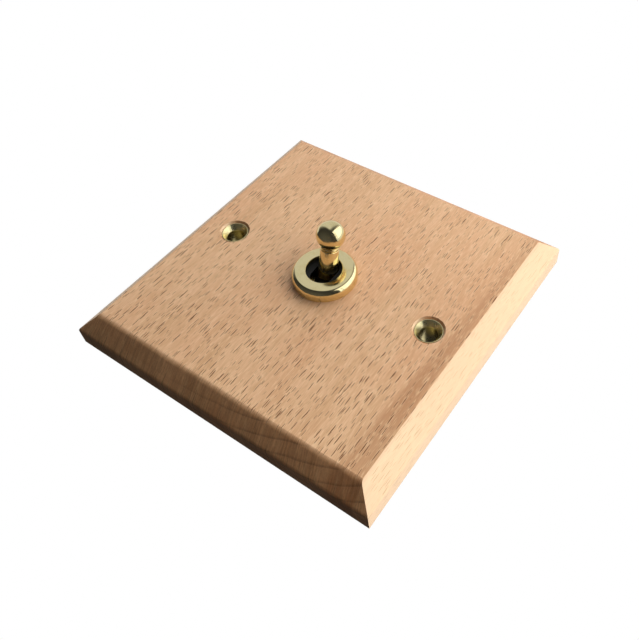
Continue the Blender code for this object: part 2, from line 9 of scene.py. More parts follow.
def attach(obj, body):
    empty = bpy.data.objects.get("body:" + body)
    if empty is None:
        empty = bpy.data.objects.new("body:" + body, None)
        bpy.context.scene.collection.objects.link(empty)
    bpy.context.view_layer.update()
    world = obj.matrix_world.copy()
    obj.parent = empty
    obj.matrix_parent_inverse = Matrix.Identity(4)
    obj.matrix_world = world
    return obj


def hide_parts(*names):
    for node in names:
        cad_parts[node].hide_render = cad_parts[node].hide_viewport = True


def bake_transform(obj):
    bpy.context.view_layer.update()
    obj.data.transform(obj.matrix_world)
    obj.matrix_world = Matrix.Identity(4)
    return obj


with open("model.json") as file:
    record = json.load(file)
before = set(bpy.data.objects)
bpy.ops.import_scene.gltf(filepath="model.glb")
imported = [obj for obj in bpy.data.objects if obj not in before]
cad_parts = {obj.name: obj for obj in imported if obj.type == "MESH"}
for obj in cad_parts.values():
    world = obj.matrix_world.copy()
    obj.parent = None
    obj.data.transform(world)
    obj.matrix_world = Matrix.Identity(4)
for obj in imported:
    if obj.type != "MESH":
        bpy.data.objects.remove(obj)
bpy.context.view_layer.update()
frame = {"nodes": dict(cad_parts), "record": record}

mm = 0.001
turnedToFront = Matrix.Rotation(math.radians(90), 4, "X")  # local Z then points to the front, -Y
turnedToBack = Matrix.Rotation(math.radians(-90), 4, "X")


def jointPlace(name):  # where a hinge's axis passes, in metres
    for joint in frame["record"]["behaviour"]["joints"]:
        if joint["name"] == name:
            return Vector(joint["pos_m"])


leverPivot = jointPlace("lever_toggle")
leverTilt = 15.0  # degrees upwards at rest
leverPlace = (Matrix.Translation(leverPivot) @ Matrix.Rotation(math.radians(-leverTilt), 4, "X")
              @ turnedToFront)  # local Z runs along the lever towards its ball
pinPlace = Matrix.Translation(leverPivot) @ Matrix.Rotation(math.radians(90), 4, "Y")  # local Z along the axle


# ---- node trees: sums as Python expressions, and one method for every other node

class Wire:  # a socket of a shader or geometry tree
    def __init__(self, tree, socket=None):
        self.tree = tree
        self.socket = socket

    def add(self, kind, settings=None, sockets=None, output=0):
        node = self.tree.nodes.new(kind)
        for name, value in (settings or {}).items():
            if name == "stops":  # a ramp's list of (place, colour)
                ramp = node.color_ramp
                while len(ramp.elements) < len(value):
                    ramp.elements.new(0.5)
                for element, (place, colour) in zip(ramp.elements, value):
                    element.position = place
                    element.color = (*colour, 1)
            else:
                setattr(node, name, value)
        for name, value in (sockets or {}).items():
            self.plug(node.inputs[name], value)
        return Wire(self.tree, node.outputs[output]) if output is not None else None

    def plug(self, socket, value):
        if isinstance(value, Wire):
            self.tree.links.new(value.socket, socket)
        else:
            socket.default_value = value

    def out(self, name):  # another output of the same node
        return Wire(self.tree, self.socket.node.outputs[name])

    def sum(self, operation, first, second=0.0):
        return self.add("ShaderNodeMath", {"operation": operation}, {0: first, 1: second})

    def __add__(self, other): return self.sum("ADD", self, other)
    def __radd__(self, other): return self.sum("ADD", other, self)
    def __sub__(self, other): return self.sum("SUBTRACT", self, other)
    def __rsub__(self, other): return self.sum("SUBTRACT", other, self)
    def __mul__(self, other): return self.sum("MULTIPLY", self, other)
    def __rmul__(self, other): return self.sum("MULTIPLY", other, self)
    def __truediv__(self, other): return self.sum("DIVIDE", self, other)
    def __rtruediv__(self, other): return self.sum("DIVIDE", other, self)
    def __pow__(self, other): return self.sum("POWER", self, other)
    def __gt__(self, other): return self.sum("GREATER_THAN", self, other)
    def __lt__(self, other): return self.sum("LESS_THAN", self, other)

    def ease(self, low, high, start=0.0, end=1.0):  # a smooth step between two values
        return self.add("ShaderNodeMapRange", {"interpolation_type": "SMOOTHSTEP", "clamp": True},
                        {"Value": self, "From Min": low, "From Max": high, "To Min": start, "To Max": end})

    def blend(self, first, second, factor):  # mixes two colours
        return self.add("ShaderNodeMix", {"data_type": "RGBA", "clamp_factor": True},
                        {"Factor": factor, 6: first, 7: second}, 2)


def colour(red, green, blue):
    return (red, green, blue, 1.0)


def newFinish(name, roughness, metallic=0.0, **fixed):
    material = bpy.data.materials.new(name)
    material.use_nodes = True
    tree = material.node_tree
    shader = tree.nodes["Principled BSDF"]
    shader.inputs["Roughness"].default_value = roughness
    shader.inputs["Metallic"].default_value = metallic
    for socket, value in fixed.items():
        shader.inputs[socket.replace("_", " ")].default_value = value
    return material, shader, Wire(tree)


def millimetres(start):  # the piece's own coordinates in millimetres
    place = start.add("ShaderNodeTexCoord", output="Object")
    return start.add("ShaderNodeVectorMath", {"operation": "SCALE"}, {0: place, "Scale": 1 / mm})


def vectorOf(start, x, y, z=0.0):
    return start.add("ShaderNodeCombineXYZ", sockets={"X": x, "Y": y, "Z": z})


def noiseAt(start, place, scale, detail=3.0, stretch=(1, 1, 1), offset=(0, 0, 0)):
    moved = start.add("ShaderNodeMapping", sockets={"Vector": place, "Scale": stretch, "Location": offset})
    return start.add("ShaderNodeTexNoise", sockets={"Vector": moved, "Scale": scale, "Detail": detail})


def coat(start, shader, base, roughness):
    start.plug(shader.inputs["Base Color"], base)
    start.plug(shader.inputs["Roughness"], roughness)


def roughen(start, shader, height, strength, distance):
    bump = start.add("ShaderNodeBump", sockets={"Strength": strength, "Distance": distance * mm,
                                                "Height": height})
    start.plug(shader.inputs["Normal"], bump)


# ---- beech

beech = {
    "light": colour(0.735, 0.455, 0.262),
    "dark": colour(0.560, 0.312, 0.155),
    "heart": colour(0.400, 0.180, 0.075),
    "pale": colour(0.860, 0.610, 0.370),
    "rose": colour(0.665, 0.355, 0.190),
    "fleck": colour(0.150, 0.046, 0.010),
    "crossCut": (0.76, 0.64, 0.53),   # how the cut ends soak up oil and darken
    "crossLeft": (0.86, 0.90, 0.92),  # greyer towards the left
    "pith": (-15.0, -180.0),          # the tree's centre, in millimetres across and in front
    "ring": 2.1,                      # yearly growth
    "taper": 0.035,
    "heartFrom": 33.4,
    # a paler tint for the sides, a painted highlight
    "paintedSideHighlight": colour(0.840, 0.640, 0.430),
}
# rays cut lengthwise: width and length of a cell, half size in it, share of cells used, seed, strength
rayLayers = (
    (0.80, 9.8, 0.132, 0.95, 3.1, 1.3),
    (0.66, 8.0, 0.122, 0.85, 8.4, 1.1),
    (0.44, 4.8, 0.14, 0.7, 15.2, 0.4),
)


def flecksOf(start, across, z, width, length, half, share, seed):
    # thin dark lenses: their strength, and that of a paler halo round them
    cells = vectorOf(start, across / width + seed, z / length + seed * 1.7)
    voronoi = start.add("ShaderNodeTexVoronoi", {"voronoi_dimensions": "2D"},
                        {"Vector": cells, "Scale": 1.0})
    draw = start.add("ShaderNodeSeparateColor", sockets={"Color": voronoi.out("Color")})
    size = half * (0.5 + 0.85 * draw.out("Green"))
    strength = (draw.out("Red") < share) * (0.42 + 0.58 * draw.out("Blue"))
    return (voronoi / size).ease(1.1, 0.7) * strength, (voronoi / size).ease(2.4, 1.1) * strength


def makeBeech():
    material, shader, start = newFinish("oiledBeech", 0.5, Specular_IOR_Level=0.3)
    place = millimetres(start)
    parts = start.add("ShaderNodeSeparateXYZ", sockets={"Vector": place})
    x, y, z = parts.out("X"), parts.out("Y"), parts.out("Z")
    normal = start.add("ShaderNodeSeparateXYZ", sockets={
        "Vector": start.add("ShaderNodeAttribute", {"attribute_name": "facing"}, output="Vector")})
    cross = start.sum("ABSOLUTE", normal.out("Z")).ease(0.06, 0.66)
    sideways = start.sum("ABSOLUTE", normal.out("X")).ease(0.35, 0.7)
    # fibres wander a little from side to side, and the rays fan out from the pith
    pithX, pithY = beech["pith"]
    wander = ((noiseAt(start, place, 0.05, 2.0, (1, 1, 0.5)) - 0.5) * 2.4
              + (noiseAt(start, place, 0.5) - 0.5) * 0.25)
    across = (x - pithX) / (y - pithY) * -pithY + wander + y * sideways * 1.8
    # yearly rings: a soft band on the face, a thin dark line where they are cut across
    side = x - pithX + wander * 1.2
    radius = (side * side + (y - pithY) * (y - pithY)) ** 0.5 + z * beech["taper"]
    growth = radius / beech["ring"] + (noiseAt(start, place, 0.06, 2.0, (1, 1, 0.15)) - 0.5) * 0.9
    ringPart = start.sum("FRACT", growth)
    late = ringPart.ease(0.15, 0.85) * (1 - ringPart.ease(0.88, 1.0))
    line = ringPart.ease(0.74, 0.93) * (1 - ringPart.ease(0.94, 1.0))
    # a darker band runs down beside the right edge and widens downwards
    edge = x - z * 0.065 + (noiseAt(start, place, 0.13, 3.0, (1, 1, 0.12)) - 0.5) * 2.6
    heart = edge.ease(beech["heartFrom"], beech["heartFrom"] + 3.2) * (1 - x.ease(38.6, 39.4))
    streak = noiseAt(start, vectorOf(start, across, y * 0.3, z * 0.03), 0.55, 4.0)
    fibre = noiseAt(start, vectorOf(start, across, y * 0.25, z * 0.07), 4.4, 3.0)
    mottle = noiseAt(start, place, 0.11, 4.0, (1, 1, 0.45))
    blush = noiseAt(start, place, 0.075, 3.0, (1, 1, 0.3), (7, 3, 1))
    tone = 0.22 * late + 1.7 * (streak - 0.48) + 0.7 * (mottle - 0.47) + 0.06
    wood = start.blend(beech["light"], beech["dark"], tone)
    wood = start.blend(wood, beech["rose"], blush.ease(0.42, 0.66) * 0.55)
    wood = start.blend(wood, beech["heart"], heart * (0.15 + 0.75 * streak))
    wood = start.blend(wood, beech["pale"], fibre.ease(0.5, 0.72) * 0.5 * (1 - cross))
    wood = start.blend(wood, beech["dark"], fibre.ease(0.5, 0.3) * 0.5)
    # faces turned left or right are painted paler: a painted highlight of the brightly lit side, put on both
    # sides
    wood = start.blend(wood, beech["paintedSideHighlight"], sideways * 0.6)
    dashes, fringes = 0.0, 0.0
    for width, length, half, share, seed, strength in rayLayers:
        dash, fringe = flecksOf(start, across, z, width, length, half, share, seed)
        dashes, fringes = dashes + dash * strength, fringes + fringe * strength
    longer = z.ease(30, -40, 0.75, 1.15)
    dashes = start.sum("MINIMUM", dashes * longer, 0.95) * (1 - 0.6 * sideways)
    wood = start.blend(wood, beech["pale"], start.sum("MINIMUM", fringes * 0.34, 0.42))
    wood = start.blend(wood, beech["fleck"], dashes * (1 - 0.55 * cross))
    # cut ends: ring lines, fine ray lines and open pores
    rays = noiseAt(start, vectorOf(start, across, y * 0.05, z * 0.05), 2.3, 3.0)
    pores = noiseAt(start, vectorOf(start, x, y, z * 0.1), 3.2, 2.0)
    deep = 1 - cross * (0.26 * line * x.ease(-30, 20) + 0.9 * (rays - 0.47)
                        + 0.35 * (pores - 0.5) + 0.5 * (mottle - 0.5))
    left = x.ease(30, -35)
    soak = [deep * (1 - cross * (1 - part * (1 - left * (1 - grey))))
            for part, grey in zip(beech["crossCut"], beech["crossLeft"])]
    shade = start.add("ShaderNodeCombineColor", sockets=dict(zip(("Red", "Green", "Blue"), soak)))
    wood = start.add("ShaderNodeMix", {"data_type": "RGBA", "blend_type": "MULTIPLY"},
                     {"Factor": 1.0, 6: wood, 7: shade}, 2)
    coat(start, shader, wood, 0.44 + 0.16 * fibre + 0.14 * dashes)
    roughen(start, shader, 0.5 * fibre + 0.2 * pores - 0.35 * dashes, 0.4, 0.06)
    return material


# ---- metals

def makeTurnedBrass(name, axisPlace, tint=colour(0.865, 0.738, 0.405), groove=0.03, dull=0.0, paintedShadeBelow=None):
    # polished on a lathe: faint rings round the piece's own axis, soft fingermarks, a few fine scratches
    material, shader, start = newFinish(name, 0.08, 1.0)
    place = start.add("ShaderNodeTexCoord", output="Object")
    back = axisPlace.inverted()
    local = start.add("ShaderNodeMapping", sockets={
        "Vector": place, "Location": back.to_translation(), "Rotation": back.to_euler()})
    local = start.add("ShaderNodeVectorMath", {"operation": "SCALE"}, {0: local, "Scale": 1 / mm})
    parts = start.add("ShaderNodeSeparateXYZ", sockets={"Vector": local})
    radius = (parts.out("X") * parts.out("X") + parts.out("Y") * parts.out("Y")) ** 0.5
    spun = vectorOf(start, radius * 0.9, parts.out("Z") * 0.9)
    turning = start.add("ShaderNodeTexNoise", sockets={"Vector": spun, "Scale": 9.0, "Detail": 4.0})
    smear = noiseAt(start, local, 0.45, 4.0)
    scratch = start.add("ShaderNodeTexNoise", sockets={
        "Vector": start.add("ShaderNodeMapping", sockets={
            "Vector": local, "Rotation": (0.4, 0.7, 0.3), "Scale": (14.0, 0.6, 0.6)}),
        "Scale": 2.0, "Detail": 2.0})
    worn = smear.ease(0.42, 0.68)
    base = start.blend(tint, colour(tint[0] * 0.93, tint[1] * 0.88, tint[2] * 0.78), worn * 0.45)
    if paintedShadeBelow is not None:  # below this depth the bore is painted dark, as painted shade in the hole
        boreShade = parts.out("Z").ease(paintedShadeBelow, paintedShadeBelow - 0.5, 0, 0.85)
        # this dark brown brass colour is painted shade down the bore
        base = start.blend(base, colour(0.36, 0.29, 0.12), boreShade)
    coat(start, shader, base, 0.08 + dull + 0.09 * worn + 0.05 * turning + 0.04 * scratch)
    roughen(start, shader, turning + 0.35 * scratch, groove, 0.02)
    return material


def makeStampedBrass():
    material, shader, start = newFinish("stampedBrass", 0.32, 1.0)
    place = millimetres(start)
    rolled = noiseAt(start, place, 1.0, 3.0, (6.0, 6.0, 0.5))
    stain = noiseAt(start, place, 0.5, 5.0).ease(0.4, 0.75)
    base = start.blend(colour(0.80, 0.60, 0.25), colour(0.52, 0.33, 0.13), stain * 0.6)
    coat(start, shader, base, 0.24 + 0.16 * rolled + 0.18 * stain)
    roughen(start, shader, rolled, 0.12, 0.03)
    return material


def makePlatedSteel(name="platedSteel", tint=colour(0.70, 0.71, 0.71), rough=0.24):
    # zinc plating: fine crystals, a faint straw cast in patches, rubbed lines from the press tool
    material, shader, start = newFinish(name, rough, 1.0)
    place = millimetres(start)
    crystals = start.add("ShaderNodeTexVoronoi", sockets={"Vector": place, "Scale": 2.2})
    sparkle = start.add("ShaderNodeSeparateColor", sockets={"Color": crystals.out("Color")}).out("Red")
    rubbed = noiseAt(start, place, 1.0, 3.0, (1.0, 8.0, 8.0))
    straw = noiseAt(start, place, 0.22, 4.0).ease(0.45, 0.75)
    base = start.blend(tint, colour(tint[0] * 1.02, tint[1] * 0.93, tint[2] * 0.76), straw * 0.55)
    coat(start, shader, base, rough + 0.08 * sparkle + 0.14 * (rubbed - 0.4))
    roughen(start, shader, rubbed + 0.25 * sparkle, 0.10, 0.03)
    return material


def makeSoftMetal(name, tint, aged, rough):  # copper strip and silver rivets
    material, shader, start = newFinish(name, rough, 1.0)
    place = millimetres(start)
    tarnish = noiseAt(start, place, 0.8, 5.0).ease(0.45, 0.72)
    grain = noiseAt(start, place, 4.0, 2.0, (1, 1, 0.15))
    coat(start, shader, start.blend(tint, aged, tarnish * 0.7), rough + 0.2 * tarnish + 0.08 * grain)
    roughen(start, shader, grain, 0.1, 0.02)
    return material


# ---- moulded, rubber and fibre pieces

def makeMoulding():
    # black phenolic: mineral specks, a slightly rippled skin and duller patches
    material, shader, start = newFinish("blackPhenolic", 0.32, Specular_IOR_Level=0.45)
    place = millimetres(start)
    specks = noiseAt(start, place, 5.0, 2.0).ease(0.66, 0.74)
    cloud = noiseAt(start, place, 0.35, 4.0)
    base = start.blend(colour(0.014, 0.013, 0.013), colour(0.032, 0.027, 0.024), cloud)
    base = start.blend(base, colour(0.075, 0.065, 0.055), specks * 0.6)
    coat(start, shader, base, 0.26 + 0.2 * cloud + 0.15 * specks)
    roughen(start, shader, cloud + 0.3 * specks, 0.18, 0.08)
    return material


def makeRubber():
    material, shader, start = newFinish("blackRubber", 0.75)
    place = millimetres(start)
    bloom = noiseAt(start, place, 1.2, 4.0)
    base = start.blend(colour(0.006, 0.006, 0.006), colour(0.016, 0.015, 0.014), bloom)
    coat(start, shader, base, 0.62 + 0.25 * bloom)
    roughen(start, shader, noiseAt(start, place, 6.0, 2.0), 0.25, 0.03)
    return material


def makeFibre():
    material, shader, start = newFinish("redFibre", 0.8)
    place = millimetres(start)
    threads = noiseAt(start, place, 1.0, 4.0, (7.0, 1.0, 1.2))
    coat(start, shader, start.blend(colour(0.20, 0.035, 0.02), colour(0.42, 0.12, 0.07), threads), 0.8)
    roughen(start, shader, threads, 0.4, 0.05)
    return material


# ---- mesh helpers

def linked(name, data):  # a new object in the scene
    made = bpy.data.objects.new(name, data)
    bpy.context.scene.collection.objects.link(made)
    return made


def applied(work):  # the plain mesh that an object's modifiers give; the object itself goes
    bpy.context.view_layer.update()
    mesh = bpy.data.meshes.new_from_object(work.evaluated_get(bpy.context.evaluated_depsgraph_get()))
    bpy.data.objects.remove(work)
    return mesh


def addPiece(name, mesh, finish, body, *nodes, sharp=32, slot=None):
    # a finished piece: at the origin, shaded, riding on its body and standing for its CAD nodes
    piece = linked(name, mesh)
    mesh.materials.clear()
    mesh.materials.append(finish)
    mesh.shade_smooth()
    mesh.set_sharp_from_angle(angle=math.radians(sharp))
    if body:
        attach(piece, body)
    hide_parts(*nodes)
    return piece


def meshOf(bm, name):
    mesh = bpy.data.meshes.new(name)
    bm.to_mesh(mesh)
    bm.free()
    return mesh


def rounded(corners, closed=False, steps=6):
    # an outline of (radius, height, fillet) corners, with an arc at every corner that has a fillet
    count = len(corners)
    points = []
    for i, (r, h, fillet) in enumerate(corners):
        here = Vector((r, h))
        if not fillet or (not closed and i in (0, count - 1)):
            points.append(here)
            continue
        before = (Vector(corners[i - 1][:2]) - here).normalized()
        after = (Vector(corners[(i + 1) % count][:2]) - here).normalized()
        half = before.angle(after) / 2
        centre = here + (before + after).normalized() * fillet / math.sin(half)
        first = here + before * fillet / math.tan(half) - centre
        turn = first.angle_signed(here + after * fillet / math.tan(half) - centre)
        for k in range(steps + 1):
            arm = first.copy()
            arm.rotate(Matrix.Rotation(-turn * k / steps, 2))
            points.append(centre + arm)
    return points


def lathe(points, place, steps=96, closed=False):
    # turns an outline, in millimetres, about local Z: down the outside, then up the bore if it is closed.
    # One that runs up the outside gives faces that point inwards, and as a cutter it removes nothing
    bm = bmesh.new()
    rings = []
    for r, h in points:
        if r < 1e-6:
            rings.append([bm.verts.new((0, 0, h * mm))])
        else:
            rings.append([bm.verts.new((r * math.cos(a) * mm, r * math.sin(a) * mm, h * mm))
                          for a in (2 * math.pi * i / steps for i in range(steps))])
    pairs = list(zip(rings, rings[1:]))
    if closed:
        pairs.append((rings[-1], rings[0]))
    for upper, lower in pairs:
        for i in range(steps):
            j = (i + 1) % steps
            corners = [upper[i % len(upper)], lower[i % len(lower)],
                       lower[j % len(lower)], upper[j % len(upper)]]
            bm.faces.new(list(dict.fromkeys(corners)))
    bm.transform(place)
    return meshOf(bm, "turned")


def cutBy(mesh, cutters, operation="DIFFERENCE"):
    # cuts or joins meshes that are all in their final place, and gives one plain mesh
    work = linked("work", mesh)
    tools = [linked("tool", cutter) for cutter in cutters]
    for tool in tools:
        step = work.modifiers.new("cut", "BOOLEAN")
        step.operation = operation
        step.solver = "EXACT"
        step.object = tool
    result = applied(work)
    for tool in tools:
        bpy.data.objects.remove(tool)
    return result


def blockMesh(x, y, z, corner=0.0, axis=1, steps=6):
    # a box between limits in millimetres, its edges along one axis rounded
    bm = bmesh.new()
    size = [(b - a) * mm for a, b in (x, y, z)]
    middle = [(a + b) / 2 * mm for a, b in (x, y, z)]
    bmesh.ops.create_cube(bm, size=1.0, matrix=Matrix.Translation(middle) @ Matrix.Diagonal((*size, 1)))
    if corner:
        edges = [e for e in bm.edges if abs((e.verts[0].co - e.verts[1].co)[axis]) > 1e-7]
        bmesh.ops.bevel(bm, geom=edges, offset=corner * mm, segments=steps, affect="EDGES", profile=0.5)
    return meshOf(bm, "block")


def chamfered(mesh, width, steps=2, angle=25):
    # the same mesh with its edges broken
    work = linked("work", mesh)
    bevel = work.modifiers.new("edges", "BEVEL")
    bevel.width = width * mm
    bevel.segments = steps
    bevel.limit_method = "ANGLE"
    bevel.angle_limit = math.radians(angle)
    bevel.use_clamp_overlap = True
    return applied(work)


def softened(node, width, steps=2):
    # the CAD node's own shape with its doubles merged, its flats cleaned and its edges broken
    bm = bmesh.new()
    bm.from_mesh(frame["nodes"][node].data)
    bmesh.ops.remove_doubles(bm, verts=bm.verts, dist=1e-7)
    bmesh.ops.dissolve_limit(bm, angle_limit=math.radians(1), verts=bm.verts, edges=bm.edges)
    bm.normal_update()
    return chamfered(meshOf(bm, node), width, steps)


def joined(*meshes):  # several meshes as one
    bm = bmesh.new()
    for mesh in meshes:
        bm.from_mesh(mesh)
    return meshOf(bm, meshes[0].name)


# ---- geometry node trees: one for everything wound, one for a ring of teeth

def newTree(name, **inputs):
    tree = bpy.data.node_groups.new(name, "GeometryNodeTree")
    kinds = {int: "NodeSocketInt", float: "NodeSocketFloat"}
    for label, value in inputs.items():
        socket = tree.interface.new_socket(label, in_out="INPUT", socket_type=kinds[type(value)])
        socket.default_value = value
    tree.interface.new_socket("finish", in_out="INPUT", socket_type="NodeSocketMaterial")
    tree.interface.new_socket("Geometry", in_out="OUTPUT", socket_type="NodeSocketGeometry")
    return tree, Wire(tree).add("NodeGroupInput")


def endTree(given, geometry):
    real = given.add("GeometryNodeRealizeInstances", sockets={"Geometry": geometry})
    painted = given.add("GeometryNodeSetMaterial", sockets={
        "Geometry": real, "Material": given.out("finish")})
    given.add("NodeGroupOutput", sockets={"Geometry": painted}, output=None)


def grown(tree, place, **values):
    # the tree's mesh for these inputs, moved to its place
    work = linked("work", bpy.data.meshes.new(tree.name))
    modifier = work.modifiers.new("tree", "NODES")
    modifier.node_group = tree
    for item in tree.interface.items_tree:
        if item.in_out == "INPUT" and item.name in values:
            modifier[item.identifier] = values[item.name]
    result = applied(work)
    result.transform(place)
    return result


def coilTree():
    # a wire wound round local Z, upwards from the origin: springs with round wire, threads with four sides
    tree, given = newTree("coil", turns=5.0, radius=1.0, length=1.0, wire=0.1, sides=12, steps=32)
    spiral = given.add("GeometryNodeCurveSpiral", sockets={
        "Resolution": given.out("steps"), "Rotations": given.out("turns"), "Height": given.out("length"),
        "Start Radius": given.out("radius"), "End Radius": given.out("radius")})
    upright = given.add("GeometryNodeSetCurveNormal", {"mode": "Z_UP"}, {"Curve": spiral})
    section = given.add("GeometryNodeCurvePrimitiveCircle", sockets={
        "Resolution": given.out("sides"), "Radius": given.out("wire")})
    endTree(given, given.add("GeometryNodeCurveToMesh", sockets={
        "Curve": upright, "Profile Curve": section, "Fill Caps": True}))
    return tree


def teethTree():
    # twisted teeth that point inwards from a circle
    tree, given = newTree("teeth", count=12, radius=6.5, width=1.2, reach=0.7, thickness=0.2, twist=0.2)
    tooth = given.add("GeometryNodeMeshCube", sockets={
        "Size": vectorOf(given, given.out("reach"), given.out("width"), given.out("thickness"))})
    twisted = given.add("GeometryNodeTransform", sockets={
        "Geometry": tooth, "Rotation": vectorOf(given, given.out("twist"), 0.0)})
    circle = given.add("GeometryNodeMeshCircle", sockets={
        "Vertices": given.out("count"), "Radius": given.out("radius")})
    turn = given.add("GeometryNodeInputIndex") * (2 * math.pi) / given.out("count")
    endTree(given, given.add("GeometryNodeInstanceOnPoints", sockets={
        "Points": circle, "Instance": twisted, "Rotation": vectorOf(given, 0.0, 0.0, turn)}))
    return tree


print("helpers ready")


# ---- the beech plate

plate = {
    "thickness": 9.25,
    "faceHalf": 38.55,
    "bevelCorner": (43.0, 5.2),   # where the bevel's and the side's planes meet: half size, height
    "arrisRound": 1.5,
    "backRound": 0.3,
    "faceRound": {"right": 0.3, "top": 0.4, "left": 0.5, "bottom": 2.6},  # the face's sanded edges
    "screwSpacing": 60.0,
    "screwHole": 3.5,
    "holeChamfer": 0.45,
    "ragged": 0.07,
    "toggleHole": 6.1,
    "pocket": (26.0, 38.0, 6.0, 3.0),  # width, length, depth, corner
}


def plateSection(fillet):
    # half the plate's section for one side, from the face down: (half size, height)
    corner, cornerHeight = plate["bevelCorner"]
    thickness, back = plate["thickness"], plate["backRound"]
    return rounded([(plate["faceHalf"] - 4, thickness, 0), (plate["faceHalf"], thickness, fillet),
                    (corner, cornerHeight, plate["arrisRound"]), (corner, 0, back), (corner - 2, 0, 0)],
                   steps=10)


def halfAt(section, height):  # a section's half size at this height
    for upper, lower in zip(section, section[1:]):
        if upper.y >= height >= lower.y and upper.y - lower.y > 1e-6:
            return upper.x + (lower.x - upper.x) * (upper.y - height) / (upper.y - lower.y)
    return section[-1].x


def makePlateBlank():
    # four sections that differ only in their sanding, cut at the same heights and joined in mitres
    sections = {side: plateSection(fillet) for side, fillet in plate["faceRound"].items()}
    heights = sorted({round(point.y, 2) for section in sections.values() for point in section},
                     reverse=True)
    bm = bmesh.new()
    rings = []
    for height in heights:
        right, top, left, bottom = (halfAt(sections[side], height)
                                    for side in ("right", "top", "left", "bottom"))
        rings.append([bm.verts.new((x * mm, -height * mm, z * mm))
                      for x, z in ((right, -bottom), (right, top), (-left, top), (-left, -bottom))])
    bm.faces.new(rings[0])
    bm.faces.new(rings[-1])
    for upper, lower in zip(rings, rings[1:]):
        for i in range(4):
            j = (i + 1) % 4
            bm.faces.new((upper[i], upper[j], lower[j], lower[i]))
    bmesh.ops.recalc_face_normals(bm, faces=bm.faces)
    return meshOf(bm, "blank")


def raggedDrill(x, seed):
    # the screw hole's cutter: a chamfered mouth whose rim follows torn fibres
    thickness, hole, chamfer = plate["thickness"], plate["screwHole"], plate["holeChamfer"]
    profile = [(0, thickness + 1), (hole + chamfer + 1, thickness + 1), (hole + chamfer, thickness),
               (hole + chamfer * 0.2, thickness - chamfer), (hole, thickness - chamfer * 1.2),
               (hole, -1), (0, -1)]
    mesh = lathe(profile, turnedToFront, steps=120)
    for vert in mesh.vertices:
        around = math.atan2(vert.co.z, vert.co.x)
        height = -vert.co.y / mm
        if thickness - chamfer < height < thickness + 0.5:
            tear = noise.noise(Vector((math.cos(around) * 9, math.sin(around) * 2.5, seed)))
            grow = 1 + plate["ragged"] * tear * abs(math.sin(around)) / 1.6
            vert.co.x *= grow
            vert.co.z *= grow
        vert.co.x += x * mm
    return mesh


def makePlate(finish):
    blank = makePlateBlank()
    thickness = plate["thickness"]
    hole = plate["toggleHole"]
    drill = lathe(rounded([(0, thickness + 1, 0), (hole, thickness + 1, 0), (hole, -1, 0), (0, -1, 0)]),
                  turnedToFront, steps=96)
    width, length, depth, corner = plate["pocket"]
    router = blockMesh((-width / 2, width / 2), (-depth, 1), (-length / 2, length / 2), corner)
    left, right = (raggedDrill(side * plate["screwSpacing"] / 2, side * 3.7) for side in (-1, 1))
    mesh = cutBy(blank, [drill, router, left, right])
    # the wood looks different where the fibres are cut across, so each corner keeps which way it faces
    mesh.shade_smooth()
    mesh.set_sharp_from_angle(angle=math.radians(30))
    facing = [part for corner in mesh.corner_normals for part in corner.vector]
    mesh.attributes.new("facing", "FLOAT_VECTOR", "CORNER").data.foreach_set("vector", facing)
    return addPiece("beechPlate", mesh, finish, "plate_assembly", "faceplate", sharp=30, slot="beech")


# ---- brass that shows in front

ring = {"radius": 8.1, "flat": 7.0, "crease": 20.0, "hole": 4.5, "height": 3.1, "shoulder": 1.55,
        "lip": 1.0, "bore": 6.2}
ferrule = {"radius": 3.42, "lip": 0.42, "cone": 1.35, "bore": 2.22, "rim": 0.16}
handle = {
    "ballRadius": 3.56, "ballCentre": 15.52,
    "bead": (2.32, 12.42, 0.24),      # radius, place along the lever, half width
    "groove": (1.85, 12.02),
    "stemTop": (2.24, 11.74), "stemEnd": (2.6, 3.9),
    "bore": 1.55, "boreEnd": 9.6,
}


def makeRing(finish):
    # flat top, quarter-round shoulder, straight rim that stands on the wood
    seat = plate["thickness"] + 0.01
    top = plate["thickness"] + ring["height"]
    width = ring["radius"] - ring["flat"]
    start = math.radians(ring["crease"])  # the shoulder leaves the flat at this slope
    reach, drop = width / (1 - math.sin(start)), ring["shoulder"] / math.cos(start)
    shoulder = [Vector((ring["flat"] + reach * (math.sin(a) - math.sin(start)),
                        top - drop * (math.cos(start) - math.cos(a))))
                for a in (start + (math.pi / 2 - start) * i / 18 for i in range(1, 19))]
    outside = rounded([(ring["hole"], top, 0.14), (ring["flat"], top, 0.0)])
    lower = rounded([(ring["radius"], seat + 1.2, 0), (ring["radius"], seat, 0.18), (ring["bore"], seat, 0.1),
                     (ring["bore"], top - ring["lip"], 0), (ring["hole"], top - ring["lip"], 0.1),
                     (ring["hole"], top - 0.5, 0)])
    mouth = [Vector((ring["hole"] + 0.16 * (1 - math.cos(a)), top - 0.16 * (1 - math.sin(a))))
             for a in (math.radians(15 * i) for i in range(0, 7))]
    points = [*outside[1:], *shoulder, *lower[1:], *mouth]
    return addPiece("brassRing", lathe(points, turnedToFront, 144, closed=True), finish,
                    "plate_assembly", "dress_ring", sharp=38, slot="polished_brass")


def makeFerrule(name, x, finish):
    top = plate["thickness"] - ferrule["lip"]
    wide, bore = ferrule["radius"], ferrule["bore"]
    points = rounded([(wide, top, 0.05), (wide, 0.15, 0.2), (bore, 0.15, 0.15),
                      (bore, top - ferrule["cone"], 0.12), (wide - ferrule["rim"], top, 0.03)], closed=True)
    place = Matrix.Translation((x * mm, 0, 0)) @ turnedToFront
    return addPiece(name + "Ferrule", lathe(points, place, 96, closed=True), finish,
                    "plate_assembly", "ferrule_" + name, sharp=38, slot="polished_brass")


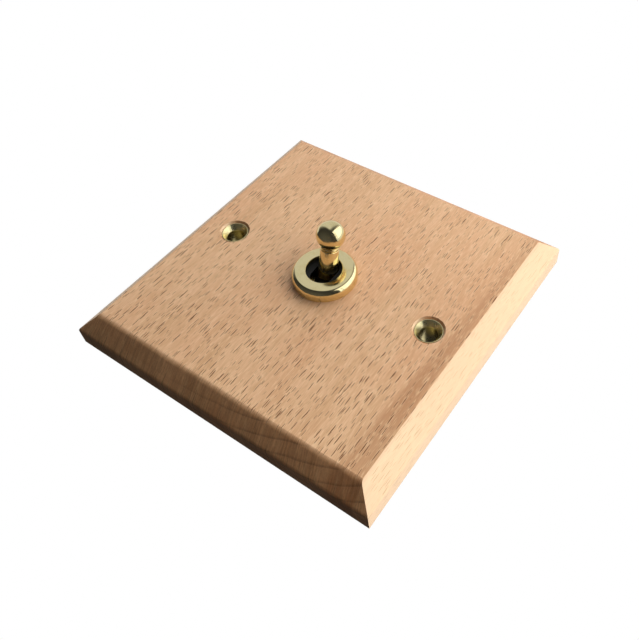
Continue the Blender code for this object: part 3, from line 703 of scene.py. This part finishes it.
def makeHandle(finish):
    # ball, bead, groove and tapered stem, turned from one bar
    centre, radius = handle["ballCentre"], handle["ballRadius"]
    beadRadius, beadPlace, beadHalf = handle["bead"]
    neck = math.degrees(math.acos((beadPlace + beadHalf * 0.7 - centre) / radius))
    ball = [Vector((radius * math.sin(a), centre + radius * math.cos(a)))
            for a in (math.radians(neck * i / 40) for i in range(41))]
    bead = [Vector((beadRadius - beadHalf + beadHalf * math.cos(a), beadPlace + beadHalf * math.sin(a)))
            for a in (math.radians(60 - 15 * i) for i in range(11))]
    grooveRadius, groovePlace = handle["groove"]
    lower = rounded([(beadRadius - 0.3, beadPlace - beadHalf, 0), (grooveRadius, groovePlace + 0.22, 0.15),
                     (grooveRadius, groovePlace - 0.18, 0.15), (*handle["stemTop"], 0.16),
                     (*handle["stemEnd"], 0.15), (handle["bore"], handle["stemEnd"][1], 0),
                     (handle["bore"], handle["boreEnd"], 0), (0, handle["boreEnd"], 0)])
    points = [*ball, *bead, *lower]
    return addPiece("brassHandle", lathe(points, leverPlace, 96), finish, "lever", "lever_handle",
                    sharp=50, slot="polished_brass")


# ---- bushing and what it holds

bushing = {"thread": 5.93, "top": 10.4, "bore": 4.4, "shoulder": 2.15, "neck": 4.95, "neckEnd": 0.65,
           "flare": 5.6, "flareEnd": 0.15, "pitch": 0.75, "keyway": 1.6, "keyFloor": 5.15, "pinHole": 0.85}


def makeBushing(coil, finish):
    # a threaded sleeve with a keyway, its neck spread behind the strap
    ridge = bushing["pitch"] / 2
    root = bushing["thread"] - ridge * 1.25
    top, shoulder = bushing["top"], bushing["shoulder"]
    core = lathe(rounded([
        (bushing["bore"], top, 0.25), (root, top, 0.2), (root, shoulder, 0.05),
        (bushing["neck"], shoulder, 0.0), (bushing["neck"], bushing["neckEnd"], 0.05),
        (bushing["flare"], bushing["neckEnd"], 0.12), (bushing["flare"], bushing["flareEnd"], 0.2),
        (bushing["bore"], bushing["flareEnd"], 0.25)], closed=True),
        turnedToFront, 96, closed=True)
    half = bushing["keyway"] / 2
    keyway = blockMesh((-half, half), (-top - 1, -shoulder + 0.3), (-7, -bushing["keyFloor"]))
    pinHole = lathe([(0, 8), (bushing["pinHole"], 8), (bushing["pinHole"], -8), (0, -8)],
                    pinPlace, steps=32)
    core = cutBy(core, [keyway, pinHole])
    run = top - shoulder - 2 * ridge - 0.3
    thread = grown(coil, turnedToFront @ Matrix.Translation((0, 0, (shoulder + ridge + 0.1) * mm)),
                   turns=run / bushing["pitch"], radius=(bushing["thread"] - ridge) * mm, length=run * mm,
                   wire=ridge * mm, sides=4, steps=64, finish=finish)
    bm = bmesh.new()
    bm.from_mesh(thread)
    gone = [v for v in bm.verts if abs(v.co.x) < half * mm and v.co.z < 0
            or Vector((v.co.y - leverPivot.y, v.co.z)).length < bushing["pinHole"] * mm]
    bmesh.ops.delete(bm, geom=gone, context="VERTS")
    bmesh.ops.holes_fill(bm, edges=[edge for edge in bm.edges if edge.is_boundary], sides=0)
    bmesh.ops.recalc_face_normals(bm, faces=bm.faces)
    return addPiece("threadedBushing", joined(core, meshOf(bm, "thread")), finish,
                    "plate_assembly", "bushing", sharp=38, slot="polished_brass")


def makeDustSeal(finish):
    # a rubber disc with a thickened lip round the lever's slot
    low, high = bushing["top"] + 0.3, bushing["top"] + 0.64
    disc = lathe(rounded([(0, high, 0), (4.6, high, 0.1), (4.75, high - 0.14, 0.05),
                          (4.95, high - 0.14, 0.05), (5.1, high, 0.1), (5.78, high, 0.1),
                          (5.78, low, 0.08), (0, low, 0)]), turnedToFront, 96)
    slot = blockMesh((-2.72, 2.72), (-high - 1, -low + 1), (-4.22, 4.22), 2.7, steps=16)
    return addPiece("dustSeal", cutBy(disc, [slot]), finish, "plate_assembly", "dust_seal", sharp=50,
                    slot="black_rubber")


def makePivotPin(finish):
    reach, radius = 5.68, 0.8
    points = rounded([(0, reach, 0), (radius, reach, 0.18), (radius, -reach, 0.18), (0, -reach, 0)])
    return addPiece("pivotPin", lathe(points, pinPlace, 40), finish, "plate_assembly", "pivot_pin",
                    slot="plated_steel")


def makeLockWasher(teeth, finish):
    middle = 4.65
    disc = lathe(rounded([(6.82, middle + 0.24, 0.06), (7.5, middle + 0.24, 0.06), (7.5, middle - 0.24, 0.06),
                          (6.82, middle - 0.24, 0.06)], closed=True), turnedToFront, 96, closed=True)
    ringOfTeeth = grown(teeth, turnedToFront @ Matrix.Translation((0, 0, middle * mm)), count=12,
                        radius=6.6 * mm, width=1.35 * mm, reach=0.66 * mm, thickness=0.2 * mm,
                        twist=math.radians(12), finish=finish)
    return addPiece("lockWasher", joined(disc, ringOfTeeth), finish, "plate_assembly", "lock_washer",
                    slot="plated_steel")


def makeHexNut(coil, finish):
    # a hexagon with both faces' corners cut back, and a chamfered, threaded bore
    flats, top, bottom, bore = 15.0, 4.15, 2.15, 6.2
    bm = bmesh.new()
    made = bmesh.ops.create_cone(bm, cap_ends=True, segments=6, radius1=flats / math.sqrt(3) * mm,
                                 radius2=flats / math.sqrt(3) * mm, depth=(top - bottom) * mm)
    bmesh.ops.transform(bm, verts=made["verts"],
                        matrix=turnedToFront @ Matrix.Translation((0, 0, (top + bottom) / 2 * mm)))
    nut = meshOf(bm, "nut")
    rim = flats / 2 - 0.15
    drop = (flats / math.sqrt(3) - rim) * math.tan(math.radians(30))
    wide = flats / math.sqrt(3) + 0.01
    cone = lathe([(0, top + 0.01), (rim, top + 0.01), (wide, top - drop), (wide, bottom + drop * 0.5),
                  (rim, bottom - 0.01), (0, bottom - 0.01)], turnedToFront, 120)
    nut = cutBy(nut, [cone], "INTERSECT")
    hole = lathe([(0, top + 1), (bore + 1.35, top + 1), (bore, top - 0.3), (bore, bottom + 0.3),
                  (bore + 1.35, bottom - 1), (0, bottom - 1)], turnedToFront, 96)
    nut = cutBy(nut, [hole])
    run = top - bottom - 0.75
    thread = grown(coil, turnedToFront @ Matrix.Translation((0, 0, (bottom + 0.38) * mm)),
                   turns=run / bushing["pitch"], radius=(bore + 0.05) * mm, length=run * mm,
                   wire=0.2 * mm, sides=4, steps=64, finish=finish)
    return addPiece("hexNut", joined(nut, thread), finish, "plate_assembly", "hex_nut", sharp=25,
                    slot="plated_steel")


# ---- the lever's hidden half

core = {"ball": 3.5, "stud": 1.3, "studTop": 9.2, "tail": 2.5, "tailEnd": -9.0, "bore": 1.6, "boreEnd": -2.2,
        "pinHole": 0.95, "pitch": 0.5}
plunger = {"radius": 1.3, "top": -6.7, "tip": -12.0}
spring = {"radius": 1.05, "wire": 0.19, "top": -2.72, "bottom": -6.45, "turns": 6.0}


def makeLeverCore(coil, finish):
    # pivot ball with a threaded stud in front and a bored tail behind
    ridge = 0.16
    up = math.acos((core["stud"] - ridge) / core["ball"])
    down = -math.acos(core["tail"] / core["ball"])
    ball = [Vector((core["ball"] * math.cos(a), core["ball"] * math.sin(a)))
            for a in (up + (down - up) * i / 30 for i in range(31))]
    head = rounded([(0, core["studTop"], 0), (core["stud"] - ridge, core["studTop"], 0.25),
                    (core["stud"] - ridge, 4.2, 0)])
    tail = rounded([(core["tail"], ball[-1].y - 0.05, 0), (core["tail"], core["tailEnd"], 0.25),
                    (core["bore"], core["tailEnd"], 0.2), (core["bore"], core["boreEnd"], 0.3),
                    (0, core["boreEnd"], 0)])
    body = lathe([*head, *ball, *tail], leverPlace, 72)
    pinHole = lathe([(0, 6), (core["pinHole"], 6), (core["pinHole"], -6), (0, -6)],
                    pinPlace, steps=32)
    body = cutBy(body, [pinHole])
    run = 4.6
    thread = grown(coil, leverPlace @ Matrix.Translation((0, 0, 4.25 * mm)), turns=run / core["pitch"],
                   radius=(core["stud"] - ridge) * mm, length=run * mm, wire=ridge * mm, sides=4, steps=32,
                   finish=finish)
    return addPiece("leverCore", joined(body, thread), finish, "lever", "lever_core", sharp=40,
                    slot="black_phenolic")


def makePlunger(finish):
    # a round-nosed pin, waisted where the spring's last turn grips it
    radius, top, tip = plunger["radius"], plunger["top"], plunger["tip"]
    nose = [Vector((radius * math.cos(a), tip + radius - radius * math.sin(a)))
            for a in (math.radians(6 * i) for i in range(16))]
    neck = rounded([(0, top, 0), (0.78, top, 0.15), (0.78, top - 0.5, 0.1), (radius, top - 0.62, 0.12),
                    (radius, top - 1.6, 0.05), (radius - 0.1, top - 1.7, 0.05),
                    (radius - 0.1, top - 2.0, 0.05), (radius, top - 2.1, 0.05)])
    return addPiece("plungerPin", lathe([*neck, *nose], leverPlace, 64), finish, "plunger", "plunger",
                    slot="plated_steel")


def makeSpring(coil, finish):
    length = spring["top"] - spring["bottom"]
    wound = [grown(coil, leverPlace @ Matrix.Translation((0, 0, (spring["bottom"] + low * length) * mm)),
                   turns=turns, radius=spring["radius"] * mm, length=share * length * mm,
                   wire=spring["wire"] * mm, sides=12, steps=48, finish=finish)
             for low, share, turns in ((0.0, 0.1, 1.0), (0.1, 0.8, spring["turns"] - 2), (0.9, 0.1, 1.0))]
    piece = addPiece("plungerSpring", joined(*wound), finish, None, "plunger_spring", sharp=60,
                     slot="plated_steel")
    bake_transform(piece)
    return piece


# ---- terminals

terminal = {"rows": {"upper": 10.0, "common": 0.0, "lower": -10.0}, "x": 1.0, "shank": 1.6, "front": 12.0,
            "headFront": 19.0, "head": 3.0, "headHeight": 2.0, "slot": (0.45, 1.0), "pitch": 0.7}
clamp = {"half": 3.18, "front": 17.9, "back": 18.7, "corner": 0.8, "hole": 1.9, "mouth": 2.15,
         "grooves": (2.25, 2.75), "groove": 0.14, "edge": 0.09}


def makeTerminalScrew(row, z, turn, coil, finish):
    # pan head with a sawn slot, threaded shank with a blunt point
    ridge = terminal["pitch"] / 2 * 0.8
    root = terminal["shank"] - ridge
    front, headFront, radius = terminal["front"], terminal["headFront"], terminal["head"]
    back = headFront + terminal["headHeight"]
    dome = [Vector((radius * 0.985 * math.sin(a), back - 0.75 * (1 - math.cos(a)) / (1 - math.cos(1.1))))
            for a in (1.1 * i / 12 for i in range(13))]
    dome = [Vector((point.x / math.sin(1.1), point.y)) for point in dome]
    side = rounded([(radius, back - 0.9, 0.12), (radius, headFront, 0.15), (root, headFront, 0.1),
                    (root, front + 0.5, 0.0), (root - 0.5, front + 0.05, 0.1), (0, front + 0.05, 0)])
    place = Matrix.Translation((terminal["x"] * mm, 0, z * mm)) @ turnedToBack
    body = lathe([*dome, *side], place, 72)
    slotHalf, depth = terminal["slot"]
    saw = blockMesh((-4, 4), (back - depth, back + 1), (-slotHalf, slotHalf))
    saw.transform(Matrix.Translation((terminal["x"] * mm, 0, z * mm))
                  @ Matrix.Rotation(math.radians(turn), 4, "Y"))
    body = cutBy(body, [saw])
    run = headFront - front - 0.9
    thread = grown(coil, place @ Matrix.Translation((0, 0, (front + 0.45) * mm)),
                   turns=run / terminal["pitch"], radius=root * mm, length=run * mm,
                   wire=ridge * mm, sides=4, steps=40, finish=finish)
    return addPiece(row + "Screw", joined(body, thread), finish, "plate_assembly", "terminal_screw_" + row,
                    sharp=35, slot="plated_steel")


def makeClampPlate(row, z, finish):
    # a square pressure plate with its corners turned and grip grooves pressed in its wire side. The screw
    # hole is only outlined on it and not cut, because this outline runs upwards
    half, front, back, cut = clamp["half"], clamp["front"], clamp["back"], clamp["groove"]
    x = terminal["x"]
    block = blockMesh((x - half, x + half), (front, back), (z - half, z + half), clamp["corner"], steps=8)
    hole = lathe([(0, front - 1), (clamp["hole"], front - 1), (clamp["hole"], back - 0.15),
                  (clamp["mouth"], back + 0.1), (clamp["mouth"], back + 1), (0, back + 1)],
                 Matrix.Translation((x * mm, 0, z * mm)) @ turnedToBack, 48)
    grooves = [blockMesh((x + side * at - cut, x + side * at + cut), (front - 1, front + cut), (z - 4, z + 4))
               for side in (-1, 1) for at in clamp["grooves"]]
    mesh = chamfered(cutBy(block, [hole, *grooves]), clamp["edge"])
    return addPiece(row + "Clamp", mesh, finish, "plate_assembly", "clamp_plate_" + row, sharp=30,
                    slot="plated_steel")


# ---- moulded body and its stampings

mould = {"edge": 0.28, "back": 14.5, "pins": ((-5.2, 12.6), (5.6, -12.6)), "pinRadius": 1.0,
         "pinDepth": 0.12}


def makeSwitchBase(finish):
    # the CAD's body with soft moulded edges. The two ejector marks behind are only outlined and have no
    # depth, because their outline runs upwards
    radius, floor = mould["pinRadius"], mould["back"] - mould["pinDepth"]
    marks = [lathe([(0, floor), (radius, floor), (radius, 16), (0, 16)],
                   Matrix.Translation((x * mm, 0, z * mm)) @ turnedToBack, 40)
             for x, z in mould["pins"]]
    mesh = cutBy(softened("switch_base", mould["edge"], 3), marks)
    return addPiece("switchBase", mesh, finish, "plate_assembly", "switch_base", sharp=28,
                    slot="black_phenolic")


def makeFromCad(finishes):
    # stampings and rivets keep the CAD's shape and get broken edges
    for node, (body, width, slot) in {
            "switch_strap": ("plate_assembly", 0.16, "plated_steel"),
            "insulator_gasket": ("plate_assembly", 0.05, "red_fibre"),
            "locating_ring": ("plate_assembly", 0.08, "plated_steel"),
            "common_terminal": ("plate_assembly", 0.12, "terminal_brass"),
            "upper_terminal": ("plate_assembly", 0.12, "terminal_brass"),
            "lower_terminal": ("plate_assembly", 0.12, "terminal_brass"),
            "upper_contact": ("plate_assembly", 0.04, "silver"),
            "lower_contact": ("plate_assembly", 0.04, "silver"),
            "rocker_contact": ("rocker", 0.1, "copper"),
            "rocker_contact_upper": ("rocker", 0.04, "silver"),
            "rocker_contact_lower": ("rocker", 0.04, "silver")}.items():
        first, *rest = node.split("_")
        name = first + "".join(word.capitalize() for word in rest)
        addPiece(name, softened(node, width), finishes[slot], body, node, sharp=30, slot=slot)


# ---- camera, light and surroundings

view = {
    "camera": (81.75, -140.03, -83.97),  # millimetres
    "aim": (15.84, -9.25, 5.93),
    "up": (-0.4086, -0.6479, 0.6429),
    "lens": 39.94,
    "shift": (-0.1135, -0.05),
}


def makeCamera():
    data = bpy.data.cameras.new("camera")
    camera = linked("camera", data)
    place, aim, up = Vector(view["camera"]) * mm, Vector(view["aim"]) * mm, Vector(view["up"])
    back = (place - aim).normalized()
    right = up.cross(back).normalized()
    up = back.cross(right)
    turn = Matrix((right, up, back)).transposed()
    camera.matrix_world = Matrix.Translation(place) @ turn.to_4x4()
    data.lens = view["lens"]
    data.sensor_width = 36.0
    data.shift_x, data.shift_y = view["shift"]
    data.clip_start, data.clip_end = 0.005, 50.0
    bpy.context.scene.camera = camera


def addWindow(name, direction, distance, size, power, tint=(1, 1, 1), target=(0, -0.009, 0)):
    # a rectangular soft light that looks at the switch
    data = bpy.data.lights.new(name, "AREA")
    data.shape = "RECTANGLE"
    data.size, data.size_y = size
    data.energy = power
    data.color = tint
    light = linked(name, data)
    away = Vector(direction).normalized()
    light.matrix_world = (Matrix.Translation(Vector(target) + away * distance)
                          @ away.to_track_quat("Z", "Y").to_matrix().to_4x4())
    return light


studio = {
    "window": 5.0, "ceiling": 3.9, "behind": 6.0,
    "wall": 0.47, "shade": 0.07, "corner": 0.13, "lowLeft": 0.26, "pane": 1.6, "table": 0.8,
}


def makeLight():
    # the lamps light the wood softly; what the brass mirrors is the room painted on the world
    window = addWindow("window", (0.887, -0.340, 0.330), 0.55, (0.62, 0.8), studio["window"],
                       (1.0, 0.97, 0.92))
    ceiling = addWindow("ceiling", (-0.15, -0.62, 0.80), 0.7, (0.9, 0.5), studio["ceiling"],
                        (0.98, 0.99, 1.0))
    behind = addWindow("behind", (-0.5, 0.9, 0.6), 0.8, (0.9, 0.9), studio["behind"])
    window.visible_glossy = ceiling.visible_glossy = behind.visible_glossy = False
    world = bpy.data.worlds.new("studio")
    bpy.context.scene.world = world
    world.use_nodes = True
    tree = world.node_tree
    start = Wire(tree)
    parts = start.add("ShaderNodeSeparateXYZ", sockets={
        "Vector": start.add("ShaderNodeTexCoord", output="Generated")})
    x, y, z = parts.out("X"), parts.out("Y"), parts.out("Z")
    # far wall to the upper left, dark room below, a tall window to the right with one glazing bar
    wall = (z + 0.25 * x).ease(-0.16, 0.04) * (x * -1).ease(-0.16, 0.10)
    corner = (x * -1).ease(-0.35, -0.1) * z.ease(-0.1, 0.1)
    lowLeft = (x * -1).ease(0.35, 0.65) * z.ease(-0.08, -0.3)
    room = studio["shade"] + studio["corner"] * corner + studio["wall"] * wall + studio["lowLeft"] * lowLeft
    safe = start.sum("MAXIMUM", x, 0.02)
    slope, rise = z / safe, y * -1 / safe
    pane = x.ease(0.05, 0.12) * slope.ease(-0.62, -0.5) * rise.ease(2.1, 1.85)
    bar = start.sum("ABSOLUTE", slope - 0.03).ease(0.05, 0.02)
    room = room + studio["pane"] * pane * (1 - 0.75 * bar)
    table = y.ease(-0.01, 0.02) * (1 - y.ease(0.22, 0.5, 0, 0.75))
    room = room * (1 - table) + studio["table"] * table
    soft = 0.18 + 0.35 * z.ease(-0.1, 0.9)
    shiny = start.add("ShaderNodeLightPath", output="Is Glossy Ray")
    strength = room * shiny + soft * (1 - shiny)
    dim = start.add("ShaderNodeBackground", sockets={"Color": colour(0.95, 0.97, 1.0), "Strength": strength})
    white = start.add("ShaderNodeBackground", sockets={"Color": colour(1, 1, 1), "Strength": 1.0})
    mixed = start.add("ShaderNodeMixShader", sockets={0: shiny.out("Is Camera Ray"), 1: dim, 2: white})
    start.plug(tree.nodes["World Output"].inputs["Surface"], mixed)


def makeFloor():
    # a plain white floor well below, since the switch hangs on a wall
    bm = bmesh.new()
    bmesh.ops.create_grid(bm, x_segments=1, y_segments=1, size=6.0, matrix=Matrix.Translation((0, 0, -0.8)))
    mesh = meshOf(bm, "floor")
    floor = linked("floor", mesh)
    material = bpy.data.materials.new("whiteFloor")
    material.use_nodes = True
    start = Wire(material.node_tree)
    pale = start.add("ShaderNodeBsdfDiffuse", sockets={"Color": colour(0.08, 0.08, 0.08)})
    white = start.add("ShaderNodeEmission", sockets={"Color": colour(1, 1, 1), "Strength": 1.0})
    seen = start.add("ShaderNodeLightPath", output="Is Camera Ray")
    mixed = start.add("ShaderNodeMixShader", sockets={0: seen, 1: pale, 2: white})
    start.plug(material.node_tree.nodes["Material Output"].inputs["Surface"], mixed)
    mesh.materials.append(material)


makeCamera()
makeLight()
makeFloor()
bpy.context.scene.view_settings.view_transform = "Standard"
bpy.context.scene.view_settings.look = "None"
bpy.context.scene.view_settings.exposure = 0.0
print("camera and light set")

beechFinish = makeBeech()
ringBrass = makeTurnedBrass("ringBrass", turnedToFront)
handleBrass = makeTurnedBrass("handleBrass", leverPlace)
stampedBrass = makeStampedBrass()
platedSteel = makePlatedSteel()
springSteel = makePlatedSteel("springSteel", colour(0.52, 0.53, 0.55), 0.3)
copper = makeSoftMetal("copperStrip", colour(0.86, 0.44, 0.27), colour(0.42, 0.19, 0.11), 0.25)
silver = makeSoftMetal("silverRivet", colour(0.90, 0.89, 0.86), colour(0.45, 0.42, 0.38), 0.2)
phenolic = makeMoulding()
rubber = makeRubber()
fibre = makeFibre()
print("finishes mixed")

makePlate(beechFinish)
makeRing(ringBrass)
for side, x in (("left", -plate["screwSpacing"] / 2), ("right", plate["screwSpacing"] / 2)):
    place = Matrix.Translation((x * mm, 0, 0)) @ turnedToFront
    # the ferrules' bores get painted shade below their cones
    makeFerrule(side, x, makeTurnedBrass(side + "FerruleBrass", place, colour(0.86, 0.76, 0.42), dull=0.14,
                                       paintedShadeBelow=plate["thickness"] - ferrule["lip"] - ferrule["cone"]))
makeHandle(handleBrass)
print("plate and brass made")

coil, teeth = coilTree(), teethTree()
makeBushing(coil, stampedBrass)
makeDustSeal(rubber)
makePivotPin(platedSteel)
makeLockWasher(teeth, platedSteel)
makeHexNut(coil, platedSteel)
makeLeverCore(coil, phenolic)
makePlunger(platedSteel)
makeSpring(coil, springSteel)
for (row, z), turn in zip(terminal["rows"].items(), (4, -23, 61)):
    makeTerminalScrew(row, z, turn, coil, platedSteel)
    makeClampPlate(row, z, platedSteel)
makeSwitchBase(phenolic)
makeFromCad({"plated_steel": platedSteel, "red_fibre": fibre, "terminal_brass": stampedBrass,
             "silver": silver, "copper": copper})
print("mechanism made")
